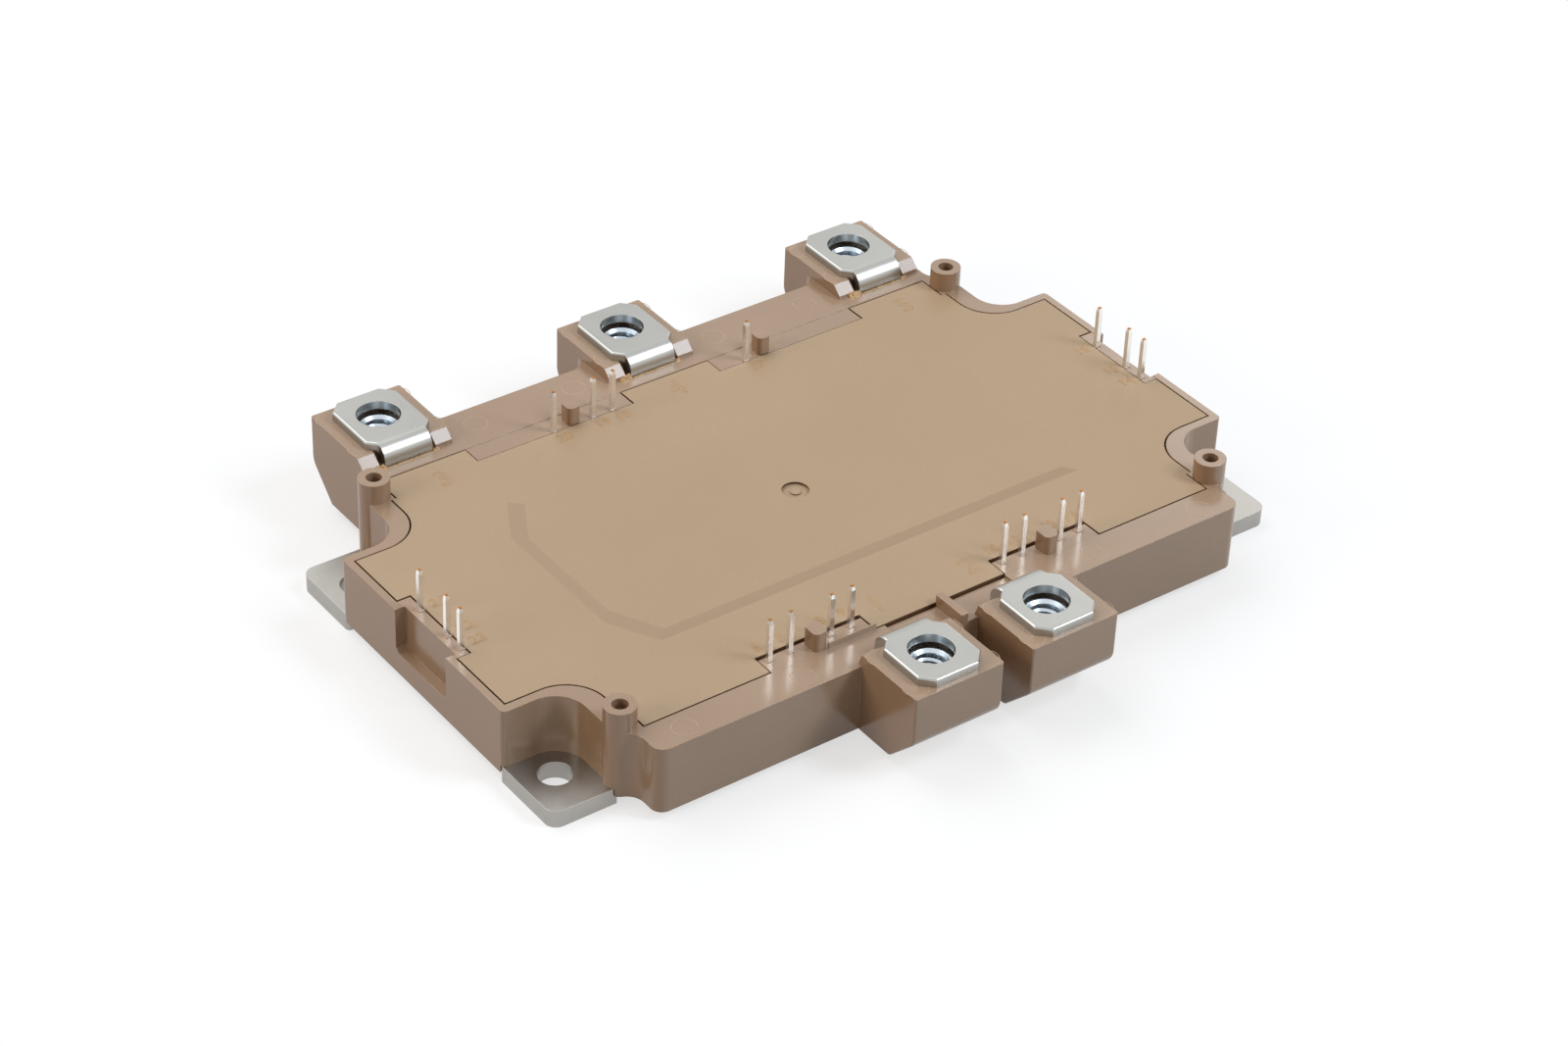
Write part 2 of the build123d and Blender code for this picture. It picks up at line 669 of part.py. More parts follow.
# Substrates with their dies and ribbons, one set for each half bridge
inner_pieces = {}
for phase, phase_x in phases.items():
    copper_size = (2 * track_half_x, 2 * track_half_y)
    die_columns = [phase_x + die_row_shift + step * die_pitch / 2 for step in (-1, 1)]
    with BuildPart() as substrate_solder:
        box_at((*copper_size, solder_thickness), (phase_x, 0), plate_thickness)
    with BuildPart() as back_copper:
        box_at((*copper_size, copper_thickness), (phase_x, 0), copper_bottom)
    with BuildPart() as ceramic_substrate:
        box_at((ceramic_width, ceramic_length, ceramic_thickness), (phase_x, 0), ceramic_bottom)
    with BuildPart() as top_copper:
        with BuildSketch(Plane.XY.offset(track_bottom)):
            for side in (-1, 1):
                main_x = (phase_x - track_half_x, phase_x + main_track_end)
                span(main_x, sorted((side * track_gap / 2, side * track_half_y)))
            return_x = phase_x + return_track_x
            with Locations((return_x, 0)):
                Rectangle(return_track_width, 2 * track_half_y)
        extrude(amount=copper_thickness)
    with BuildPart() as igbt_dies:
        with BuildSketch(Plane.XY.offset(track_top)):
            with Locations(*[(x, side * igbt_row_y) for x in die_columns for side in (-1, 1)]):
                Rectangle(igbt_size, igbt_size)
        extrude(amount=die_thickness)
    with BuildPart() as diode_dies:
        with BuildSketch(Plane.XY.offset(track_top)):
            with Locations(*[(x, side * diode_row_y) for x in die_columns for side in (-1, 1)]):
                Rectangle(diode_length, diode_width)
        extrude(amount=die_thickness)
    with BuildPart() as bond_ribbons:
        link_y = diode_row_y + diode_landing_shift
        for x in die_columns:
            run = Plane.YZ.offset(x)
            ribbon((-igbt_row_y, die_top), (-link_y - ribbon_landing, die_top), run)
            ribbon((link_y - 2 * diode_row_y, die_top), (track_gap / 2 + ribbon_landing, track_top), run)
            ribbon((igbt_row_y, die_top), (link_y + ribbon_landing, die_top), run)
        cross = Plane.XZ.offset(diode_link_shift - diode_row_y)
        first, second = die_columns
        ribbon((first + diode_link_side, die_top), (second - diode_link_side - ribbon_landing, die_top), cross)
        ribbon((second + diode_link_side, die_top), (return_x - ribbon_landing, track_top), cross)
        output_x = terminals[f"output_terminal_{phase}"][0]
        output_x = min(output_x, phase_x + main_track_end - ribbon_width / 2)
        foot_top = ledge_top + tab_thickness
        landing_y = track_half_y - ribbon_landing
        ribbon((foot_end + ribbon_landing, foot_top), (landing_y, track_top), Plane.YZ.offset(output_x))
        if phase == "v":
            plus_x = terminals["dc_terminal_positive"][0]
            minus_x = terminals["dc_terminal_negative"][0]
            minus_x = max(minus_x, return_x - (return_track_width - ribbon_width) / 2)
            for x in (plus_x, minus_x):
                foot_landing = (-foot_end - ribbon_landing, foot_top)
                ribbon(foot_landing, (-landing_y, track_top), Plane.YZ.offset(x))
    inner_pieces[f"substrate_solder_{phase}"] = substrate_solder
    inner_pieces[f"back_copper_{phase}"] = back_copper
    inner_pieces[f"ceramic_substrate_{phase}"] = ceramic_substrate
    inner_pieces[f"top_copper_{phase}"] = top_copper
    inner_pieces[f"igbt_dies_{phase}"] = igbt_dies
    inner_pieces[f"diode_dies_{phase}"] = diode_dies
    inner_pieces[f"bond_ribbons_{phase}"] = bond_ribbons

with BuildPart() as thermistor:
    box_at(thermistor_size, (main_track_end - thermistor_inset, igbt_row_y), track_top)
inner_pieces["thermistor"] = thermistor

# Soft gel that covers the dies and the inner feet
with BuildPart() as silicone_gel:
    with BuildSketch(Plane.XY.offset(plate_thickness)) as gel_foot:
        well_plan(gel_foot, ledge_width)
    extrude(amount=ledge_top - plate_thickness)
    with BuildSketch(Plane.XY.offset(ledge_top)) as gel_head:
        well_plan(gel_head)
    extrude(amount=gel_top - ledge_top)
    add([piece.part for piece in inner_pieces.values()], mode=Mode.SUBTRACT)
    add([bar.part for bar in busbars.values()], mode=Mode.SUBTRACT)
    add([pin.part for pin in pins.values()], mode=Mode.SUBTRACT)

# Labels and files
pieces = {
    "base_plate": base_plate,
    "housing_frame": housing_frame,
    "housing_adhesive": housing_adhesive,
    "lid": lid,
    "terminal_nuts": terminal_nuts,
    "silicone_gel": silicone_gel,
    **busbars,
    **pins,
    **inner_pieces,
}
for name, piece in pieces.items():
    piece.part.label = name
    export_step(piece.part, f"parts/{name}.step")
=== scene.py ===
"""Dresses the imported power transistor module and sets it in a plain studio."""

import json
import logging
import math
from dataclasses import dataclass, field
from enum import Enum

import bmesh
import bpy
from mathutils import Matrix, Vector, noise


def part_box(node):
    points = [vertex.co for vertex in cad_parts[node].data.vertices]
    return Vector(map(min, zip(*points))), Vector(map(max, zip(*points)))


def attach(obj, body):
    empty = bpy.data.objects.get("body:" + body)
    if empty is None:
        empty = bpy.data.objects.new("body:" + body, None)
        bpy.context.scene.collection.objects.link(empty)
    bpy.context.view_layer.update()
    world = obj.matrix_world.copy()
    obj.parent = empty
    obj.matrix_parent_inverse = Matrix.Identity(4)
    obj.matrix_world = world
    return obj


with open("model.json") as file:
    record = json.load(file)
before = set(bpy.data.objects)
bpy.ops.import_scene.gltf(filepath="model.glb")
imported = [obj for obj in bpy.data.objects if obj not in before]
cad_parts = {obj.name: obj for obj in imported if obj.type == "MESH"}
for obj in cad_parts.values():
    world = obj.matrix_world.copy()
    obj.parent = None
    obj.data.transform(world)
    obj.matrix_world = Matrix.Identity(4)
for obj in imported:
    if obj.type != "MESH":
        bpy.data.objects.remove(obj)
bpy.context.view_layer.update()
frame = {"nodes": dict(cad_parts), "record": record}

log = logging.getLogger("module")

MM = 0.001
ROOT_BODY = "root"

Color = tuple[float, float, float]
Socket = bpy.types.NodeSocket
Tree = bpy.types.NodeTree


class Slot(Enum):
    """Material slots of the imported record."""

    PLATE = "plated_plate"
    HOUSING = "housing_plastic"
    LID = "lid_plastic"
    GLUE = "glue"
    NUT = "nut_zinc"
    GEL = "gel"
    THERMISTOR = "thermistor_body"
    BUSBAR = "busbar_nickel"
    PIN = "pin_tin"
    SOLDER = "solder"
    COPPER = "copper"
    CERAMIC = "substrate_ceramic"
    DIE = "die_silicon"
    RIBBON = "ribbon_aluminium"


def srgb(red: int, green: int, blue: int) -> Color:
    """Turn a screen colour into the linear colour that shaders use.

    Args:
        red: Red, 0 to 255.
        green: Green, 0 to 255.
        blue: Blue, 0 to 255.

    Returns:
        The linear colour.
    """

    def linear(value: int) -> float:
        """Return one channel as linear light."""
        share = value / 255
        return share / 12.92 if share <= 0.04045 else ((share + 0.055) / 1.055) ** 2.4

    return (linear(red), linear(green), linear(blue))


class NodePen:
    """Adds shader nodes to one tree and joins them."""

    def __init__(self, tree: Tree) -> None:
        """Start with the tree's nodes cleared."""
        self.tree = tree
        self.tree.nodes.clear()

    def node(self, kind: str, **settings: object) -> bpy.types.Node:
        """Add a node.

        Args:
            kind: Blender's type name without its ShaderNode start.
            settings: Attributes of the node.

        Returns:
            The new node.
        """
        made = self.tree.nodes.new(f"ShaderNode{kind}")
        for name, value in settings.items():
            setattr(made, name, value)
        return made

    def group(self, shared: Tree) -> bpy.types.Node:
        """Place a shared node group and return its node."""
        made = self.tree.nodes.new("ShaderNodeGroup")
        made.node_tree = shared
        return made

    def join(self, start: Socket, end: Socket) -> None:
        """Link an output socket to an input socket."""
        self.tree.links.new(start, end)

    def ramp(
        self, value: Socket, low: float, high: float, out_low: float = 0.0, out_high: float = 1.0
    ) -> Socket:
        """Stretch a value between two limits onto a new range.

        Args:
            value: Socket to stretch.
            low: Value that becomes out_low.
            high: Value that becomes out_high.
            out_low: First end of the new range.
            out_high: Second end of the new range.

        Returns:
            The stretched value's socket.
        """
        made = self.node("MapRange", clamp=True)
        limits = {"From Min": low, "From Max": high, "To Min": out_low, "To Max": out_high}
        for name, number in limits.items():
            made.inputs[name].default_value = number
        self.join(value, made.inputs["Value"])
        return made.outputs["Result"]

    def mix(self, factor: Socket, start: Socket | Color, end: Socket | Color) -> Socket:
        """Mix two colours, each a socket or a plain colour, and return the result's socket."""
        made = self.node("Mix", data_type="RGBA")
        self.join(factor, made.inputs["Factor"])
        for socket, value in ((made.inputs[6], start), (made.inputs[7], end)):
            if isinstance(value, tuple):
                socket.default_value = (*value, 1.0)
            else:
                self.join(value, socket)
        return made.outputs[2]

    def times(self, first: Socket, second: Socket | float) -> Socket:
        """Multiply a value by a socket or a number and return the product's socket."""
        made = self.node("Math", operation="MULTIPLY")
        self.join(first, made.inputs[0])
        if isinstance(second, float):
            made.inputs[1].default_value = second
        else:
            self.join(second, made.inputs[1])
        return made.outputs["Value"]


def new_group(name: str, inputs: dict[str, tuple[str, object]], outputs: dict[str, str]) -> Tree:
    """Make an empty shader node group with named sockets.

    Args:
        name: The group's name.
        inputs: Socket name to its type's short name and default value.
        outputs: Socket name to its type's short name.

    Returns:
        The node group.
    """
    group = bpy.data.node_groups.new(name, "ShaderNodeTree")
    for label, (kind, value) in inputs.items():
        socket = group.interface.new_socket(label, in_out="INPUT", socket_type=f"NodeSocket{kind}")
        if value is not None:
            socket.default_value = value
    for label, kind in outputs.items():
        group.interface.new_socket(label, in_out="OUTPUT", socket_type=f"NodeSocket{kind}")
    return group


@dataclass
class SharedGroups:
    """Node groups that more than one finish uses, with the limits of their masks."""

    edge_turn: tuple[float, float] = (0.995, 0.80)
    fleck_limits: tuple[float, float] = (0.3, 0.7)
    cloud_limits: tuple[float, float] = (0.35, 0.65)
    bevel_samples: int = 6
    edges: Tree = field(init=False)
    grain: Tree = field(init=False)

    def __post_init__(self) -> None:
        """Build each group once."""
        self.edges = self.build_edges()
        self.grain = self.build_grain()

    def build_edges(self) -> Tree:
        """Build the group that finds edges for the painted edge highlight and rounds them off.

        Returns:
            A group with the outputs Edge, from 0 on flats to 1 on an edge, and Normal.
        """
        inputs = {"Radius": ("Float", 0.3 * MM)}
        group = new_group("edge_highlight_finder", inputs, {"Edge": "Float", "Normal": "Vector"})
        pen = NodePen(group)
        given = pen.tree.nodes.new("NodeGroupInput")
        out = pen.tree.nodes.new("NodeGroupOutput")
        bevel = pen.node("Bevel", samples=self.bevel_samples)
        pen.join(given.outputs["Radius"], bevel.inputs["Radius"])
        flat = pen.node("NewGeometry")
        turn = pen.node("VectorMath", operation="DOT_PRODUCT")
        pen.join(bevel.outputs["Normal"], turn.inputs[0])
        pen.join(flat.outputs["Normal"], turn.inputs[1])
        pen.join(pen.ramp(turn.outputs["Value"], *self.edge_turn), out.inputs["Edge"])
        pen.join(bevel.outputs["Normal"], out.inputs["Normal"])
        return group

    def build_grain(self) -> Tree:
        """Build the group for fine flecks on slow shade changes.

        Returns:
            A group with the outputs Shade, from 0 to 1, and Height.
        """
        inputs = {
            "Place": ("Vector", None),
            "Fleck Scale": ("Float", 4000.0),
            "Cloud Scale": ("Float", 60.0),
            "Cloud Share": ("Float", 0.5),
        }
        group = new_group("surface_grain", inputs, {"Shade": "Float", "Height": "Float"})
        pen = NodePen(group)
        given = pen.tree.nodes.new("NodeGroupInput")
        out = pen.tree.nodes.new("NodeGroupOutput")
        flecks = pen.node("TexNoise")
        flecks.inputs["Detail"].default_value = 2.0
        clouds = pen.node("TexNoise")
        clouds.inputs["Detail"].default_value = 3.0
        for texture, scale in ((flecks, "Fleck Scale"), (clouds, "Cloud Scale")):
            pen.join(given.outputs["Place"], texture.inputs["Vector"])
            pen.join(given.outputs[scale], texture.inputs["Scale"])
        fleck = pen.ramp(flecks.outputs["Fac"], *self.fleck_limits)
        cloud = pen.ramp(clouds.outputs["Fac"], *self.cloud_limits)
        blend = pen.node("Mix", data_type="FLOAT")
        pen.join(given.outputs["Cloud Share"], blend.inputs[0])
        pen.join(fleck, blend.inputs[2])
        pen.join(cloud, blend.inputs[3])
        pen.join(blend.outputs[0], out.inputs["Shade"])
        pen.join(fleck, out.inputs["Height"])
        return group


@dataclass(frozen=True)
class Finish:
    """A surface: two close colours with flecks, a painted highlight on its edges, gloss and a fine
    bump.

    Lengths are in metres and scales in cells per metre.
    """

    name: str
    dark: Color
    light: Color
    # The edge colour is a painted highlight on the edges.
    edge: Color
    edge_share: float
    roughness: tuple[float, float]
    metallic: float = 0.0
    edge_radius: float = 0.0003
    fleck_scale: float = 4000.0
    cloud_scale: float = 60.0
    cloud_share: float = 0.5
    bump: float = 0.0
    alpha: float = 1.0
    specular: float = 0.5

    def build(self, groups: SharedGroups) -> bpy.types.Material:
        """Make the material.

        Args:
            groups: The shared node groups.

        Returns:
            The finished material.
        """
        material = bpy.data.materials.new(self.name)
        material.use_nodes = True
        pen = NodePen(material.node_tree)
        out = pen.node("OutputMaterial")
        shader = pen.node("BsdfPrincipled")
        shader.inputs["Metallic"].default_value = self.metallic
        shader.inputs["Specular IOR Level"].default_value = self.specular
        shader.inputs["Alpha"].default_value = self.alpha
        place = pen.node("TexCoord").outputs["Object"]
        grain = pen.group(groups.grain)
        pen.join(place, grain.inputs["Place"])
        grain.inputs["Fleck Scale"].default_value = self.fleck_scale
        grain.inputs["Cloud Scale"].default_value = self.cloud_scale
        grain.inputs["Cloud Share"].default_value = self.cloud_share
        edges = pen.group(groups.edges)
        edges.inputs["Radius"].default_value = self.edge_radius
        body = pen.mix(grain.outputs["Shade"], self.dark, self.light)
        body = self.over_paint(pen, place, body)
        # Painted highlight: the edge colour is mixed in on the edges.
        edge = pen.times(edges.outputs["Edge"], self.edge_share)
        pen.join(pen.mix(edge, body, self.edge), shader.inputs["Base Color"])
        gloss = pen.ramp(grain.outputs["Shade"], 0.0, 1.0, *self.roughness)
        pen.join(gloss, shader.inputs["Roughness"])
        bump = pen.node("Bump")
        bump.inputs["Strength"].default_value = 1.0
        bump.inputs["Distance"].default_value = self.bump
        pen.join(grain.outputs["Height"], bump.inputs["Height"])
        pen.join(edges.outputs["Normal"], bump.inputs["Normal"])
        pen.join(bump.outputs["Normal"], shader.inputs["Normal"])
        pen.join(shader.outputs["BSDF"], out.inputs["Surface"])
        return material

    def over_paint(self, pen: NodePen, place: Socket, body: Socket) -> Socket:
        """Return the body colour as it is; finishes with a second colour change it here."""
        return body


@dataclass(frozen=True)
class TippedFinish(Finish):
    """A plated wire whose end was cut after plating, so that the bare core shows above a height."""

    tip: Color = (0.5, 0.3, 0.2)
    tip_height: float = 20.9 * MM
    tip_blend: float = 0.1 * MM

    def over_paint(self, pen: NodePen, place: Socket, body: Socket) -> Socket:
        """Mix the core's colour in above the tip height.

        Args:
            pen: The material's node pen.
            place: Socket with the object coordinates.
            body: Socket with the plated colour.

        Returns:
            The mixed colour's socket.
        """
        split = pen.node("SeparateXYZ")
        pen.join(place, split.inputs["Vector"])
        core = pen.ramp(split.outputs["Z"], self.tip_height - self.tip_blend, self.tip_height)
        return pen.mix(core, body, self.tip)


@dataclass(frozen=True)
class SlopedFinish(Finish):
    """A moulded part with painted shade on gentle slopes to the front and the left, where less light
    falls, and on upright sides, which lie in shade in the gaps.
    """

    slope_shade: Color = (0.3, 0.25, 0.2)
    slope_share: float = 0.8
    slope_way: tuple[float, float, float] = (-0.82, -0.573, 0.0)
    slope_starts: tuple[float, float] = (0.002, 0.006)
    slope_ends: tuple[float, float] = (0.20, 0.25)
    side_shade: Color = (0.05, 0.04, 0.03)
    side_limits: tuple[float, float] = (0.2, 0.6)

    def over_paint(self, pen: NodePen, place: Socket, body: Socket) -> Socket:
        """Mix the painted shade in where the face leans slightly to the front and the left, and the
        darker painted gap shade where it stands upright.

        Args:
            pen: The material's node pen.
            place: Socket with the object coordinates; not used here.
            body: Socket with the flat face's colour.

        Returns:
            The mixed colour's socket.
        """
        # Painted shade: slopes facing the front and left, away from the key light, and the upright
        # sides in the gaps are darkened in colour.
        face = pen.node("NewGeometry")
        lean = pen.node("VectorMath", operation="DOT_PRODUCT")
        lean.inputs[1].default_value = self.slope_way
        pen.join(face.outputs["True Normal"], lean.inputs[0])
        leaning = pen.ramp(lean.outputs["Value"], *self.slope_starts)
        gentle = pen.ramp(lean.outputs["Value"], *self.slope_ends, 1.0, 0.0)
        share = pen.times(pen.times(leaning, gentle), self.slope_share)
        split = pen.node("SeparateXYZ")
        pen.join(face.outputs["True Normal"], split.inputs["Vector"])
        upright = pen.ramp(split.outputs["Z"], *self.side_limits, 1.0, 0.0)
        return pen.mix(upright, pen.mix(share, body, self.slope_shade), self.side_shade)


@dataclass(frozen=True)
class DeepEndedFinish(Finish):
    """A satin moulded part whose end faces are painted deeper and warmer in colour, a painted shade
    that stands in for the weaker light and reflection on them.
    """

    end_shade: Color = (0.3, 0.2, 0.1)
    end_limits: tuple[float, float] = (0.3, 0.9)

    def over_paint(self, pen: NodePen, place: Socket, body: Socket) -> Socket:
        """Mix the painted end shade in on the faces that point along the part.

        Args:
            pen: The material's node pen.
            place: Socket with the object coordinates; not used here.
            body: Socket with the colour of the other faces.

        Returns:
            The mixed colour's socket.
        """
        # Painted shade: the end faces get a darker, warmer colour in place of the light and reflection
        # that they lack.
        face = pen.node("NewGeometry")
        split = pen.node("SeparateXYZ")
        pen.join(face.outputs["Normal"], split.inputs["Vector"])
        along = pen.node("Math", operation="ABSOLUTE")
        pen.join(split.outputs["X"], along.inputs[0])
        return pen.mix(pen.ramp(along.outputs["Value"], *self.end_limits), body, self.end_shade)


FINISHES: dict[Slot, Finish] = {
    Slot.HOUSING: DeepEndedFinish(
        "housing_satin_plastic_painted_end_shade",
        dark=srgb(168, 139, 113),
        light=srgb(178, 149, 123),
        edge=srgb(204, 160, 118),
        edge_share=0.6,
        roughness=(0.16, 0.24),
        edge_radius=0.00014,
        fleck_scale=3500.0,
        cloud_scale=45.0,
        bump=0.000002,
        specular=0.62,
        # Painted shade on the end faces.
        end_shade=srgb(153, 120, 90),
    ),
    Slot.LID: SlopedFinish(
        "lid_grained_plastic_painted_shade",
        dark=srgb(176, 149, 118),
        light=srgb(186, 159, 127),
        edge=srgb(222, 194, 156),
        edge_share=0.8,
        roughness=(0.46, 0.56),
        edge_radius=0.00015,
        fleck_scale=5200.0,
        cloud_scale=35.0,
        cloud_share=0.4,
        bump=0.000008,
        # Painted shade on the front and left slopes and on the upright sides in the gaps.
        slope_shade=srgb(168, 141, 113),
        side_shade=srgb(100, 70, 46),
    ),
    Slot.PLATE: Finish(
        "plate_dull_nickel",
        dark=srgb(164, 161, 156),
        light=srgb(174, 171, 166),
        edge=srgb(196, 194, 190),
        edge_share=0.3,
        roughness=(0.30, 0.36),
        metallic=1.0,
        edge_radius=0.0001,
        fleck_scale=900.0,
        cloud_scale=120.0,
        cloud_share=0.8,
    ),
    Slot.BUSBAR: Finish(
        "busbar_satin_nickel",
        dark=srgb(174, 174, 170),
        light=srgb(179, 179, 175),
        edge=srgb(206, 204, 199),
        edge_share=0.3,
        roughness=(0.27, 0.29),
        metallic=1.0,
        edge_radius=0.0001,
        fleck_scale=5000.0,
        cloud_scale=90.0,
        cloud_share=0.8,
    ),
    Slot.NUT: Finish(
        "nut_bright_zinc",
        dark=srgb(190, 202, 212),
        light=srgb(212, 222, 230),
        edge=srgb(240, 246, 250),
        edge_share=0.7,
        roughness=(0.22, 0.32),
        metallic=1.0,
        edge_radius=0.0001,
        bump=0.000002,
    ),
    Slot.PIN: TippedFinish(
        "pin_tin",
        dark=srgb(238, 236, 232),
        light=srgb(246, 244, 241),
        edge=srgb(250, 249, 247),
        edge_share=0.4,
        roughness=(0.27, 0.29),
        metallic=1.0,
        edge_radius=0.0,
        cloud_scale=300.0,
        tip=srgb(182, 122, 62),
    ),
    Slot.GLUE: Finish(
        "glue_grey",
        dark=srgb(150, 150, 146),
        light=srgb(170, 170, 166),
        edge=srgb(180, 180, 176),
        edge_share=0.2,
        roughness=(0.5, 0.6),
    ),
    Slot.GEL: Finish(
        "gel_clear",
        dark=srgb(200, 200, 196),
        light=srgb(215, 215, 211),
        edge=srgb(225, 225, 221),
        edge_share=0.2,
        roughness=(0.08, 0.12),
        alpha=0.5,
    ),
    Slot.THERMISTOR: Finish(
        "thermistor_body",
        dark=srgb(60, 60, 60),
        light=srgb(80, 80, 80),
        edge=srgb(110, 110, 110),
        edge_share=0.4,
        roughness=(0.4, 0.5),
    ),
    Slot.SOLDER: Finish(
        "solder_dull",
        dark=srgb(160, 160, 162),
        light=srgb(185, 185, 187),
        edge=srgb(210, 210, 212),
        edge_share=0.4,
        roughness=(0.35, 0.5),
        metallic=1.0,
    ),
    Slot.COPPER: Finish(
        "copper_bare",
        dark=srgb(196, 128, 92),
        light=srgb(214, 146, 108),
        edge=srgb(238, 180, 140),
        edge_share=0.5,
        roughness=(0.28, 0.4),
        metallic=1.0,
    ),
    Slot.CERAMIC: Finish(
        "ceramic_white",
        dark=srgb(222, 222, 218),
        light=srgb(232, 232, 228),
        edge=srgb(240, 240, 236),
        edge_share=0.3,
        roughness=(0.5, 0.6),
    ),
    Slot.DIE: Finish(
        "die_metallised",
        dark=srgb(120, 120, 126),
        light=srgb(140, 140, 146),
        edge=srgb(170, 170, 176),
        edge_share=0.4,
        roughness=(0.25, 0.35),
        metallic=1.0,
    ),
    Slot.RIBBON: Finish(
        "ribbon_bright_aluminium",
        dark=srgb(215, 215, 217),
        light=srgb(230, 230, 232),
        edge=srgb(245, 245, 246),
        edge_share=0.4,
        roughness=(0.22, 0.32),
        metallic=1.0,
    ),
}

# Painted highlight: the numbers are lighter and more orange than the lid, standing in for the lit edges
# of the raised strokes.
NUMBER_FINISH = Finish(
    "number_relief_painted_highlight",
    dark=srgb(190, 148, 102),
    light=srgb(208, 168, 120),
    edge=srgb(218, 180, 134),
    edge_share=0.2,
    roughness=(0.40, 0.50),
    edge_radius=0.00005,
    bump=0.000004,
)

SEAM_FINISH = Finish(
    "thin_moulding_seam",
    dark=srgb(196, 168, 140),
    light=srgb(212, 184, 154),
    edge=srgb(224, 196, 162),
    edge_share=0.5,
    roughness=(0.25, 0.40),
    edge_radius=0.00004,
)

SQUEEZED_FINISH = Finish(
    "squeezed_plastic",
    dark=srgb(186, 146, 100),
    light=srgb(216, 178, 130),
    edge=srgb(228, 196, 150),
    edge_share=0.4,
    roughness=(0.18, 0.34),
    edge_radius=0.0001,
    fleck_scale=2500.0,
    cloud_scale=900.0,
    bump=0.00003,
)


@dataclass
class Workshop:
    """Builds the finishes, dresses CAD nodes and turns meshes into finished pieces."""

    groups: SharedGroups = field(default_factory=SharedGroups)
    materials: dict[Slot, bpy.types.Material] = field(default_factory=dict)

    def material(self, slot: Slot) -> bpy.types.Material:
        """Return the material of a slot, built at its first use."""
        if slot not in self.materials:
            self.materials[slot] = FINISHES[slot].build(self.groups)
        return self.materials[slot]

    def dress_nodes(self) -> None:
        """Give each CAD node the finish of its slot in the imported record."""
        for entry in frame["record"]["subparts"]:
            node = frame["nodes"][entry["node"]]
            slot = Slot(entry["material_slot"])
            for place in node.material_slots:
                place.material = self.material(slot)
            log.info("dressed %s as %s", entry["node"], slot.value)

    def finish_piece(
        self, name: str, mesh_maker: bmesh.types.BMesh, slot: Slot, finish: Finish | None = None
    ) -> bpy.types.Object:
        """Turn a bmesh into a piece that rides on the part.

        Args:
            name: The piece's name.
            mesh_maker: The finished shape, in metres in the part's frame.
            slot: The record's slot whose finish the piece gets when it is given none of its own.
            finish: A finish of its own, or None for the slot's.

        Returns:
            The new object.
        """
        mesh = bpy.data.meshes.new(name)
        mesh_maker.to_mesh(mesh)
        mesh_maker.free()
        piece = bpy.data.objects.new(name, mesh)
        bpy.context.scene.collection.objects.link(piece)
        mesh.materials.append(finish.build(self.groups) if finish else self.material(slot))
        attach(piece, ROOT_BODY)
        log.info("made %s with %d faces", name, len(mesh.polygons))
        return piece


@dataclass
class NutThreads:
    """The screw threads inside the five captive nuts."""

    workshop: Workshop
    terminal_y: float = 49.13 * MM
    terminal_x: tuple[tuple[float, int], ...] = (
        (-47.26 * MM, 1),
        (0.0, 1),
        (47.26 * MM, 1),
        (-11.1 * MM, -1),
        (11.1 * MM, -1),
    )
    bore_radius: float = 2.5 * MM
    ridge_depth: float = 0.34 * MM
    ridge_sink: float = 0.02 * MM
    pitch: float = 1.0 * MM
    root_share: float = 0.44
    crest_share: float = 0.06
    end_margin: float = 0.55 * MM
    steps_per_turn: int = 40

    def build(self) -> None:
        """Make one piece with a helical ridge in each nut."""
        low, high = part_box("terminal_nuts")
        maker = bmesh.new()
        turns = (high.z - low.z - 2 * self.end_margin - self.pitch) / self.pitch
        for x, side in self.terminal_x:
            centre = Vector((x, side * self.terminal_y, low.z + self.end_margin + self.pitch / 2))
            self.add_ridge(maker, centre, turns)
        bmesh.ops.recalc_face_normals(maker, faces=maker.faces)
        self.workshop.finish_piece("nut_threads", maker, Slot.NUT)

    def add_ridge(self, maker: bmesh.types.BMesh, centre: Vector, turns: float) -> None:
        """Add one helical ridge.

        Args:
            maker: The bmesh that gets it.
            centre: The lowest point of the helix's axis.
            turns: How often it goes round.
        """
        wall = self.bore_radius + self.ridge_sink
        crest = self.bore_radius - self.ridge_depth
        half = self.pitch * self.root_share
        flat = self.pitch * self.crest_share
        profile = [(wall, -half), (crest, -flat), (crest, flat), (wall, half)]
        corners = [maker.verts.new(centre + Vector((radius, 0, height))) for radius, height in profile]
        face = maker.faces.new(corners)
        bmesh.ops.spin(
            maker,
            geom=[face, *face.edges, *face.verts],
            cent=centre,
            axis=(0, 0, 1),
            dvec=(0, 0, self.pitch / self.steps_per_turn),
            angle=math.tau * turns,
            steps=int(self.steps_per_turn * turns),
            use_merge=False,
        )


